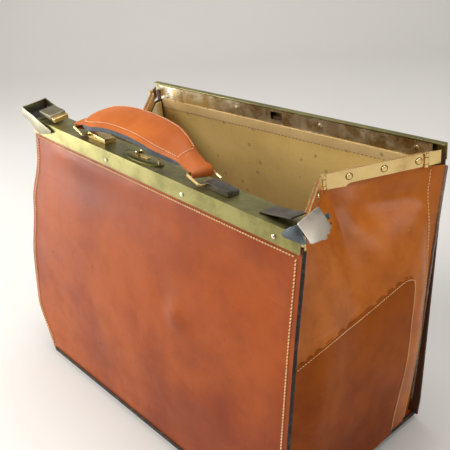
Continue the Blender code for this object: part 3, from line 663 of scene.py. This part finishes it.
def make_gusset(side, word):
    """The leather, lining, patch and stitches of one end."""
    def outer(u, v):
        return gusset_skin(side, u, v)

    def inside(u, v):
        return gusset_point(side, 0.02 + 0.96 * u, 0.005 + 0.965 * v, 3.9 * MM)

    def patch_face(u, v):
        s = PATCH_REAR * u
        top = patch_top(s)
        p = gusset_skin(side, s, top + (0.992 - top) * v)
        p.x += side * 0.5 * MM
        return p

    def sewn_face(u, v):
        p = gusset_skin(side, u, v)
        p.x += side * (0.55 * MM if u < PATCH_REAR else 0.0)
        return p

    turned = side < 0
    skin = shell(f"gusset_leather_{word}", outer, 84, 84, 2.0 * MM, SIDE_HIDE, FLESH, FLESH, turned)
    follow_mouth(skin, f"gusset_{word}")
    lining = shell(f"gusset_suede_{word}", inside, 56, 56, 0.8 * MM, LINING, LINING, LINING, turned)
    follow_mouth(lining, f"gusset_lining_{word}")
    patch = shell(f"gusset_patch_{word}", patch_face, 70, 60, 0.9 * MM, PATCH_HIDE, FLESH, FLESH, turned)
    follow_mouth(patch)

    inset = PATCH_REAR - 0.014
    across = [inset * (0.02 + 0.98 * math.sin(math.pi / 2 * i / 60)) for i in range(61)]
    patch_row = [(s, patch_top(s) + 0.011) for s in across]
    last = patch_row[-1][1]
    patch_row += [(inset, last + (0.975 - last) * i / 40) for i in range(1, 41)]
    down = [0.01 + 0.97 * i / 60 for i in range(61)]
    rear_row = [(0.95 - 0.05 * t, t) for t in down]
    rows = []
    for name, places, pitch in (("patch", patch_row, 3.0 * MM), ("rear", rear_row, 3.4 * MM)):
        path, normals = surface_row(sewn_face, places)
        normals = [n if n.x * side > 0 else -n for n in normals]
        path = [p + n * 0.1 * MM for p, n in zip(path, normals)]
        rows.append(stitches(name, path, normals, CREAM, pitch, pitch * 0.72, 0.42 * MM))
    follow_mouth(merged(f"gusset_stitching_{word}", rows))


for end_side, end_word in SIDE_WORDS:
    make_gusset(end_side, end_word)


def front_welt(side, word):
    """Raw edge where the front leather and an end are sewn together."""
    path = []
    for k in range(61):
        depth = (15 + 299 * k / 60) * MM
        p = front_point(side * PANEL_HALF, depth, 3.9 * MM)
        p.x += side * (-0.7 + 0.5 * noise.noise(Vector((side, depth * 60, 0)))) * MM
        path.append(p)
    welt = section_tube(f"front_welt_{word}", path, [Vector((side, 0, 0))] * 61,
                        round_outline(3.2 * MM, 1.8 * MM, 0.7 * MM), WELT)
    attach(welt, "bag_body")


def rear_welt(side, word):
    path = []
    for k in range(71):
        t = 0.004 + 0.99 * k / 70
        p = gusset_point(side, 1.0, t)
        p.y += (1.6 + 0.7 * noise.noise(Vector((side * 3, t * 14, 0)))) * MM
        p.x += side * 0.5 * MM
        path.append(p)
    welt = section_tube(f"rear_welt_{word}", path, [Vector((side, 0, 0))] * 71,
                        round_outline(2.4 * MM, 3.6 * MM, 0.8 * MM), GREY_EDGE)
    follow_mouth(welt)


for end_side, end_word in SIDE_WORDS:
    front_welt(end_side, end_word)
    rear_welt(end_side, end_word)


# ---------------- rear leather

def rear_point(x, t, sink=0.0):
    """Outer face of the rear leather at x, t from the rail to the base."""
    top = REAR @ Vector((x, 3.1 * MM, -11 * MM))
    low = REAR @ Vector((x, 3.1 * MM, -24 * MM))
    end = Vector((x, BASE_REAR_Y + 2.6 * MM, BASE_Z + 1 * MM))
    p = top.lerp(low, t / 0.045) if t < 0.045 else low.lerp(end, (t - 0.045) / 0.955)
    inner = ease((0.211 - abs(x)) / 0.05)
    belly = 6 * MM * ease((t - 0.05) / 0.4) * ease((1 - t) / 0.35) * inner
    wave = noise.noise(Vector((x * 7, t * 3, 5.5))) * 5 * MM * ease((t - 0.05) / 0.12) * inner
    p.y += belly + wave - sink
    p.y -= 2.5 * MM * ease((t - 0.93) / 0.07)
    return p


def rear_uv(u, v):
    return rear_point((1 - 2 * u) * 210 * MM, v)


def rear_inside(u, v):
    return rear_point((1 - 2 * u) * 197 * MM, 0.05 + 0.915 * v, 4.4 * MM)


rear_skin = shell("rear_leather", rear_uv, 84, 56, 2.2 * MM, REAR_HIDE, FLESH, FLESH)
follow_mouth(rear_skin, "rear_panel")
rear_suede = shell("rear_suede", rear_inside, 84, 60, 0.8 * MM, LINING, LINING, LINING)
follow_mouth(rear_suede, "rear_lining")


def rear_binding():
    """Tan strip that binds the lining's top edge, and the dark stitches under it."""
    def strip(u, v):
        x = (-196 + 392 * u) * MM
        ripple = noise.noise(Vector((x * 30, 0, 2))) * 0.5 * MM
        return REAR @ Vector((x, (-3.5 + 1.2 * v ** 2) * MM, (-19.2 - 12.5 * v) * MM + ripple * v))

    band = shell("rear_binding", strip, 70, 6, 1.0 * MM, BINDING, BINDING, BINDING)
    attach(band, "rear_frame")
    places = [(0.01 + 0.98 * i / 60, 0.9) for i in range(61)]
    path, normals = surface_row(strip, places, 0.1 * MM)
    row = stitches("rear_binding_stitching", path, normals, DARK_THREAD, 5.2 * MM, 3.0 * MM, 0.35 * MM)
    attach(row, "rear_frame")


rear_binding()


# ---------------- base

def base_pieces():
    """The leather under the bag, and the rolled welt round it."""
    outline = []
    radius = 4
    for x, y, start in ((204.5, 111.5, 0), (-204.5, 111.5, 90), (-204.5, -110, 180), (204.5, -110, 270)):
        centre_x, centre_y = x - math.copysign(radius, x), y - math.copysign(radius, y)
        for k in range(5):
            a = math.radians(start + 90 * k / 4)
            outline.append(((centre_x + radius * math.cos(a)) * MM, (centre_y + radius * math.sin(a)) * MM))
    slab = prism("base_leather", outline, 6.4 * MM, 8.5 * MM, REAR_HIDE, bevel=0.8 * MM)
    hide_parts("base_panel")
    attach(slab, "bag_body")
    path = [Vector((x * 1.006, y * 1.010, 8.2 * MM)) for x, y in outline]
    path += path[:2]
    dense = []
    for a, b in zip(path, path[1:]):
        steps = max(1, int((b - a).length / (8 * MM)))
        dense += [a.lerp(b, i / steps) for i in range(steps)]
    welt = section_tube("base_welt", dense, [Vector((0, 0, 1))] * len(dense),
                        round_outline(4.0 * MM, 4.4 * MM, 1.8 * MM), WELT)
    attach(welt, "bag_body")


base_pieces()


# ---------------- side links

RIVETS = (26 * MM, 61.5 * MM, 97 * MM)  # each link's rivets, back from its knee
SHORT_STRIP = 14 * MM  # the left rear strip starts here, short of the third rivet


def links_of(side, word):
    """Each link of one end: its name, end pin, inward side along its own Y and body."""
    front, rear, _, _ = SIDES[side]
    return (("front", front, side, f"front_link_{word}"), ("rear", rear, -side, f"rear_link_{word}"))


def rivet_shadow_ring(centre, inside):
    """Thin ring of painted shadow round a rivet's head."""
    loops = []
    for k in range(20):
        a = math.pi * 2 * k / 20
        spoke = Vector((math.cos(a), 0, math.sin(a)))
        loops.append([centre + spoke * (3.5 + 0.28 * math.cos(b)) * MM
                      + Vector((0, inside * (0.22 * math.sin(b) + 0.25) * MM, 0))
                      for b in [math.pi * j / 3 for j in range(6)]])
    loops.append(loops[0])
    return loft("ring", loops, PAINTED_SHADE, closed_ends=False)


def link_details():
    """The leather held in each side link, and the painted shadow rings round its rivets."""
    near, thick = 2.0 * MM, 1.9 * MM
    for side, word in SIDE_WORDS:
        _, _, knee, normal = SIDES[side]
        for tag, origin, inside, body in links_of(side, word):
            matrix = link_frame(origin, knee, normal)
            whole = tag == "front" or side > 0
            start, end = 3 * MM if whole else SHORT_STRIP, LINK - 7 * MM
            low_y, high_y = sorted((inside * near, inside * (near + thick)))
            outline = [(start, low_y), (end, low_y), (end, high_y), (start, high_y)]
            strip = prism(f"link_leather_{tag}_{word}", outline, -LINK_HEIGHT / 2 - 2.5 * MM,
                          LINK_HEIGHT / 2 - 0.6 * MM, SIDE_HIDE, matrix, 0.4 * MM)
            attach(strip, body)
            # Each rivet gets a thin near-black ring of painted shadow.
            shadow_rings = [rivet_shadow_ring(Vector((LINK - offset, 0, 0)), inside)
                     for offset in (RIVETS if whole else RIVETS[:2])]
            shadow_rings = merged(f"link_rivet_seats_{tag}_{word}", shadow_rings)
            shadow_rings.data.transform(matrix)
            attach(shadow_rings, body)


link_details()


def knee_leaves():
    """Scalloped leaves of the knee plates under the right links."""
    _, _, knee, normal = SIDES[1]
    top = -5.5
    outline = [(-27, top), (-27, -7.5), (-24.5, -8.2), (-23.2, -10.2), (-21, -11.6), (-18.4, -10.6),
               (-16, -10.9), (-14, -12.6), (-11, -13.2), (-8.6, -11.8), (-6, -12.2), (-4, -13.6),
               (-3.4, top)]
    points = [(LINK + x * MM, z * MM) for x, z in outline]
    turn = Matrix(((1, 0, 0, 0), (0, 0, 1, 0), (0, 1, 0, 0), (0, 0, 0, 1)))
    for tag, origin, inside, body in reversed(links_of(1, "right")):
        matrix = link_frame(origin, knee, normal)
        middle = inside * 0.9 * MM
        leaf = prism(f"knee_leaf_{tag}_right", points, middle - 0.45 * MM, middle + 0.45 * MM, BRIGHT,
                     matrix @ turn, 0.25 * MM)
        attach(leaf, body)


knee_leaves()


# ---------------- handle

END_REACH = 3 * MM  # the right loop runs on past its ring bar
GRIP_LEFT = Vector((RING_PIVOT_X[0], 0)) + RING_TOP
GRIP_RIGHT = Vector((RING_PIVOT_X[1], 0)) + RING_TOP + Vector((END_REACH, 0))
GRIP_MIDDLE, GRIP_HALF = (GRIP_LEFT.x + GRIP_RIGHT.x) / 2, (GRIP_RIGHT.x - GRIP_LEFT.x) / 2
CURL = 4.4 * MM  # radius of the loops round the ring bars
GRIP_RISE = 22 * MM
GRIP_DROP = 2.2 * MM  # the sewn edges lie this far under the middle line
STEPS_ACROSS = 16


def arch(t):
    """Middle line of the strap between its rings, t from -1 to 1, in the front rail's frame."""
    return Vector((GRIP_MIDDLE + GRIP_HALF * t, 0, GRIP_LEFT.y + CURL + GRIP_RISE * (1 - abs(t) ** 2.3)))


def grip_half_width(t):
    return (11.4 + 7.4 * ease((0.94 - abs(t + 0.06)) / 0.45)) * MM


def grip_roll(t):
    """Slope of the strap across its width: it leans towards the front, most in the middle."""
    return 0.14 + 0.26 * ease((0.96 - abs(t)) / 0.3)


def grip_dome(u, t):
    return 5.2 * MM * (1 - abs(u) ** 2.4) * (0.35 + 0.65 * ease((0.94 - abs(t)) / 0.2))


def across_arch(t):
    """Square to the strap's middle line and upwards, in the front rail's frame."""
    ahead = (arch(t + 0.01) - arch(t - 0.01)).normalized()
    return Vector((-ahead.z, 0, ahead.x))


def grip_top(u, t):
    """The domed upper face, u across from -1 to 1 and t along from -1 to 1."""
    out = u * grip_half_width(t)
    height = grip_dome(u, t) + out * grip_roll(t) - GRIP_DROP
    return FRONT @ (arch(t) + Vector((0, RING_Y + out, 0)) + across_arch(t) * height)


def end_loop(centre, first):
    """Middle line of the strap round a ring's bar, back from the first angle."""
    angles = [math.radians(first - 165 * i / 7) for i in range(8)]
    return [Vector((centre.x + CURL * math.cos(a), 0, centre.y + CURL * math.sin(a))) for a in angles]


def grip_leather():
    """The strap's upper leather, which curls round both ring bars."""
    stations = [(point, -1.0) for point in end_loop(GRIP_LEFT, 285)]
    stations += [(arch(t), t) for t in [-1 + 2 * i / 40 for i in range(1, 40)]]
    stations += [(point, 1.0) for point in end_loop(GRIP_RIGHT, 60)]
    loops = []
    for i, (point, t) in enumerate(stations):
        ahead = (stations[min(i + 1, len(stations) - 1)][0] - stations[max(i - 1, 0)][0]).normalized()
        up = Vector((-ahead.z, 0, ahead.x))
        half, roll = grip_half_width(t), grip_roll(t)
        curled = abs(t) == 1.0
        loop = []
        for k in range(STEPS_ACROSS + 1):
            u = -1 + 2 * k / STEPS_ACROSS
            rise = (0.4 + 0.8 * (1 - u * u)) * MM if curled else grip_dome(u, t) - GRIP_DROP
            loop.append(FRONT @ (point + Vector((0, RING_Y + u * half, 0)) + up * (rise + u * half * roll)))
        for k in range(STEPS_ACROSS + 1):
            u = 1 - 2 * k / STEPS_ACROSS
            under = (-1.0 if curled else -3.3) * MM
            loop.append(FRONT @ (point + Vector((0, RING_Y + u * half * 0.985, 0))
                                 + up * (under + u * half * roll)))
        loops.append(loop)
    strap = loft("grip_leather", loops, GRIP_HIDE, angle=50)
    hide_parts("handle_strap")
    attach(strap, "handle")


def grip_underside():
    """The dyed layers under the strap, thinner towards its ends."""
    loops = []
    for t in [-0.86 + 1.72 * i / 44 for i in range(45)]:
        half = grip_half_width(t) + 0.25 * MM
        thick = (3.4 + 3.4 * ease((0.86 - abs(t)) / 0.06)) * MM
        outline = round_outline(2 * half, thick - 1.6 * MM, 1.1 * MM)
        low = (thick + 1.6 * MM) / 2 + 0.9 * MM
        loops.append([FRONT @ (arch(t) + Vector((0, RING_Y + a, 0))
                               + across_arch(t) * (b + a * grip_roll(t) - low)) for a, b in outline])
    under = loft("grip_underside", loops, BLUE_EDGE, angle=50)
    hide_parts("handle_underside")
    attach(under, "handle")


def grip_stitching():
    """One row round the strap, a little in from its edges."""
    inset = 0.80
    along = [-inset + 2 * inset * i / 70 for i in range(71)]
    across = [-inset + 2 * inset * i / 14 for i in range(15)]
    rows = []
    for places in ([(-inset, t) for t in along], [(inset, t) for t in along],
                   [(u, inset) for u in across], [(u, -inset) for u in across]):
        path, normals = surface_row(grip_top, places)
        normals = [n if n.z > 0 else -n for n in normals]
        path = [p + n * 0.15 * MM for p, n in zip(path, normals)]
        rows.append(stitches("row", path, normals, PALE_THREAD, 2.7 * MM, 2.2 * MM, 0.5 * MM))
    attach(merged("grip_stitching", rows), "handle")


grip_leather()
grip_underside()
grip_stitching()


# ---------------- lock

LOCK = FRONT @ Matrix.Translation((LOCK_X, LOCK_Y, 0))
STAPLE_X = -7.4  # millimetres from the lock's middle, as below
KNOB_X = 27.5


def circle(count):
    return [math.pi * 2 * k / count for k in range(count)]


def escutcheon():
    """Domed oval plate with a raised rim, as rings of (share of its size, height)."""
    rings = ((1.0, 0.3), (1.0, 1.1), (0.965, 1.5), (0.92, 1.5), (0.9, 1.2), (0.84, 1.2), (0.78, 1.6),
             (0.6, 2.0), (0.35, 2.25), (0.1, 2.3))
    loops = [[LOCK @ (Vector((31.5 * size * math.cos(a), 11.5 * size * math.sin(a), height)) * MM)
              for a in circle(48)] for size, height in rings]
    plate = loft("lock_escutcheon", loops, AGED)
    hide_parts("lock_plate")
    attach(plate, "bag_body")


def staple():
    """Two round-topped ears and the little barrel between them."""
    radius = 2.4
    arc = [math.pi * (1 - k / 8) for k in range(9)]
    outline = [(-radius, 0), *[(radius * math.cos(a), radius + radius * math.sin(a)) for a in arc],
               (radius, 0)]
    parts = []
    for y in (-2.2, 4.2):
        place = LOCK @ Matrix.Translation(Vector((STAPLE_X, y, 1.7)) * MM) @ UPRIGHT
        parts.append(prism("ear", scaled(outline), -0.8 * MM, 0.8 * MM, BRIGHT, place, 0.25 * MM))
    barrel = [[LOCK @ (Vector((STAPLE_X + 1.3 * math.cos(a), y, 4.3 + 1.3 * math.sin(a))) * MM)
               for a in circle(12)] for y in (-4.2, 6.2)]
    parts.append(loft("barrel", barrel, STEEL))
    made = merged("lock_staple", parts)
    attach(made, "bag_body")


def lock_knob():
    rings = ((1.6, 1.0), (1.6, 2.2), (2.0, 2.8), (1.8, 3.8), (1.0, 4.3), (0.2, 4.4))
    loops = [[LOCK @ (Vector((KNOB_X + radius * math.cos(a), radius * math.sin(a), height)) * MM)
              for a in circle(16)] for radius, height in rings]
    knob = loft("lock_knob", loops, BRIGHT)
    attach(knob, "bag_body")


escutcheon()
staple()
lock_knob()


# ---------------- end clasps

CLASP_LEAN = 11  # degrees that the left clasp and lever lean forward


def clasp(side, word, swing, lean, plates, back_y, wall_x, finishes):
    """End plate, two cheeks and floor of a clasp, swung about its pin. Outlines are in millimetres."""
    wall, front_cheek, back_cheek = plates
    hinge = (FRONT @ Matrix.Translation((side * 200 * MM, 0, -0.4 * MM))
             @ Matrix.Rotation(math.radians(swing), 4, "Y") @ Matrix.Rotation(math.radians(lean), 4, "X"))
    low, high = sorted((side * wall_x, side * (wall_x + 1.3)))
    parts = [prism("wall", scaled(wall), low * MM, high * MM, finishes[0], hinge @ PROFILE, 0.45 * MM, 3)]
    for outline, y in ((front_cheek, -3.2), (back_cheek, back_y)):
        cheek = scaled([(side * x, z) for x, z in outline])
        parts.append(prism("cheek", cheek, -(y + 1.2) * MM, -y * MM, finishes[1], hinge @ UPRIGHT, 0.3 * MM))
    # The floor takes the third finish, which for both clasps is painted shade for the dark inside of the
    # box.
    floor = [(side * x, y) for x, y in ((5, -2.8), (wall_x, -2.8), (wall_x, back_y), (5, back_y))]
    parts.append(prism("floor", scaled(floor), -5.2 * MM, -4.2 * MM, finishes[2], hinge))
    made = merged(f"clasp_cover_{word}", parts)
    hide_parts(f"clasp_cap_{word}")
    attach(made, f"clasp_{word}")


RIGHT_WALL = [(-3.6, 3.4), (-2.6, 5.0), (24.4, 11.6), (26.2, 10.6), (30.2, -6.6), (29.4, -8.6),
              (26.6, -9.4), (26.0, -11.6), (24.6, -12.2), (22.0, -12.0), (20.8, -14.8), (18.4, -15.6),
              (13.5, -14.6), (8.5, -15.0), (2.6, -15.0), (0.6, -13.6)]
RIGHT_FRONT = [(-8, 0), (-7.4, 4.0), (4, 4.6), (13.9, 3.8), (14.6, -12.6), (11, -13), (6, -9.5)]
RIGHT_BACK = [(-4, -2.6), (1.5, -2.6), (4.5, -1), (13.9, -1), (13.9, 4.2), (3, 3.5), (-4, 2.5)]
LEFT_WALL = [(-3, -5.4), (-3, 5.0), (-2, 6.4), (29, 6.4), (30, 5.4), (30, -4.4), (28, -5.4)]
LEFT_FRONT = [(-5, -15), (3, -14.2), (9.5, -9.6), (14, -6.4), (30.6, -5.6), (31, 6.0), (6, 5.6),
              (-4, 4.4), (-33, 2.2), (-33, -0.8)]
LEFT_BACK = [(-4, -4), (30.6, -4), (30.6, 6.2), (3, 5.8), (-10, 3.6)]
clasp(1, "right", -37, 0, (RIGHT_WALL, RIGHT_FRONT, RIGHT_BACK), 33.3, 13.7,
      (PALE_STEEL, BLUE_STEEL, PAINTED_SHADE))
clasp(-1, "left", 10, CLASP_LEAN, (LEFT_WALL, LEFT_FRONT, LEFT_BACK), 28, 30,
      (OLIVE_STEEL, OLIVE_STEEL, PAINTED_SHADE))


def left_lever():
    """The block that lifts inside the left clasp, with a brass step at its inner end."""
    place = FRONT @ Matrix.Rotation(math.radians(CLASP_LEAN), 4, "X") @ UPRIGHT
    block = prism("block", scaled([(-203, 4.6), (-202.4, 9.6), (-178, 8.6), (-177.4, 2.6)]),
                  -25.5 * MM, -5.5 * MM, STONE_STEEL, place, 0.7 * MM, 3)
    step = prism("step", scaled([(-177.6, 1.6), (-177.6, 6.4), (-172.2, 5.6), (-172.2, 0.8)]),
                 -25 * MM, -6 * MM, BRIGHT, place, 0.5 * MM, 3)
    made = merged("lever_block_left", [block, step])
    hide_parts("clasp_lever_left")
    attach(made, "clasp_lever_left")


left_lever()


# ---------------- CAD pieces that stay

# Every other CAD piece that stays is bright brass.
FINISHES = {
    "front_rail": AGED, "rear_rail": AGED, "front_inner_strip": MIRROR, "rear_inner_strip": MIRROR,
    "handle_mount_left": BRIGHT, "handle_mount_right": STEEL, "lock_case": STEEL, "lock_bolt": STEEL,
    "clasp_lever_right": STEEL, "clasp_pin_right": STEEL, "clasp_pin_left": STEEL, "base_board": BOARD,
}
BEVELS = {"front_rail": 0.7 * MM, "rear_rail": 0.3 * MM, "handle_mount_left": 0.5 * MM,
          "handle_mount_right": 0.5 * MM, "clasp_lever_right": 0.3 * MM}


def finish_cad_piece(node, obj):
    for slot in obj.material_slots:
        slot.material = FINISHES.get(node, BRIGHT)
    if node in BEVELS:
        weld = obj.modifiers.new("weld", "WELD")
        weld.merge_threshold = 1e-5
        bevel = obj.modifiers.new("bevel", "BEVEL")
        bevel.width = BEVELS[node]
        bevel.segments = 2
        bevel.limit_method = "ANGLE"
        bevel.angle_limit = math.radians(40)


for cad_node, cad_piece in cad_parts.items():
    if not cad_piece.hide_render:
        finish_cad_piece(cad_node, cad_piece)


# ---------------- stage

def stage():
    """Pale floor that curves up behind the bag, as the camera sees it."""
    mesh = bpy.data.meshes.new("floor")
    reach, back, rise, radius, steps = 2.6, 1.9, 1.6, 0.6, 14
    profile = [(-reach, 0.0), (back - radius, 0.0)]
    for k in range(1, steps + 1):
        a = math.pi / 2 * k / steps
        profile.append((back - radius + radius * math.sin(a), radius - radius * math.cos(a)))
    profile.append((back, rise))
    turn = Matrix.Rotation(math.radians(47.6), 4, "Z")
    verts = [turn @ Vector((x, y, z)) for y, z in profile for x in (-reach, reach)]
    faces = [(2 * k, 2 * k + 1, 2 * k + 3, 2 * k + 2) for k in range(len(profile) - 1)]
    mesh.from_pydata([tuple(v) for v in verts], [], faces)
    mesh.shade_smooth()
    floor = bpy.data.objects.new("floor", mesh)
    bpy.context.scene.collection.objects.link(floor)
    made, tree = tree_of("pale_floor")
    tint = mixed(tree, speckle(tree, place_of(tree), 3), colour(212, 210, 206), colour(206, 204, 200))
    finish_material(tree, tint, 0.85, None)
    mesh.materials.append(made)


def area_light(name, place, target, size, power, tint=(1, 1, 1)):
    data = bpy.data.lights.new(name, "AREA")
    data.shape = "RECTANGLE"
    data.size, data.size_y = size
    data.energy = power
    data.color = tint
    lamp = bpy.data.objects.new(name, data)
    bpy.context.scene.collection.objects.link(lamp)
    lamp.location = place
    lamp.rotation_euler = (Vector(target) - Vector(place)).to_track_quat("-Z", "Y").to_euler()
    lamp.visible_camera = False


def light_and_camera():
    area_light("key", (-0.5, -1.3, 1.7), (0, 0, 0.2), (1.1, 0.8), 34, (1.0, 0.97, 0.93))
    area_light("side", (1.7, 0.3, 1.1), (0.1, 0, 0.2), (1.0, 0.9), 12.5, (1.0, 0.99, 0.96))
    area_light("low_left", (-0.95, -0.6, 0.34), (-0.1, -0.1, 0.2), (0.6, 0.5), 8)
    area_light("top", (0.0, 0.3, 2.0), (0, 0, 0.2), (1.4, 1.0), 22)
    world = bpy.data.worlds.new("studio")
    world.use_nodes = True
    background = world.node_tree.nodes["Background"]
    background.inputs["Color"].default_value = (1.0, 0.97, 0.92, 1)
    background.inputs["Strength"].default_value = 0.2
    bpy.context.scene.world = world
    bpy.context.scene.view_settings.view_transform = "Standard"
    data = bpy.data.cameras.new("camera")
    data.sensor_width = 36
    data.lens = 60.37
    camera = bpy.data.objects.new("camera", data)
    bpy.context.scene.collection.objects.link(camera)
    camera.location = (0.5664, -0.4539, 0.6204)
    camera.rotation_euler = Euler([math.radians(a) for a in (61.089, 3.856, 47.618)], "XYZ")
    bpy.context.scene.camera = camera


stage()
light_and_camera()
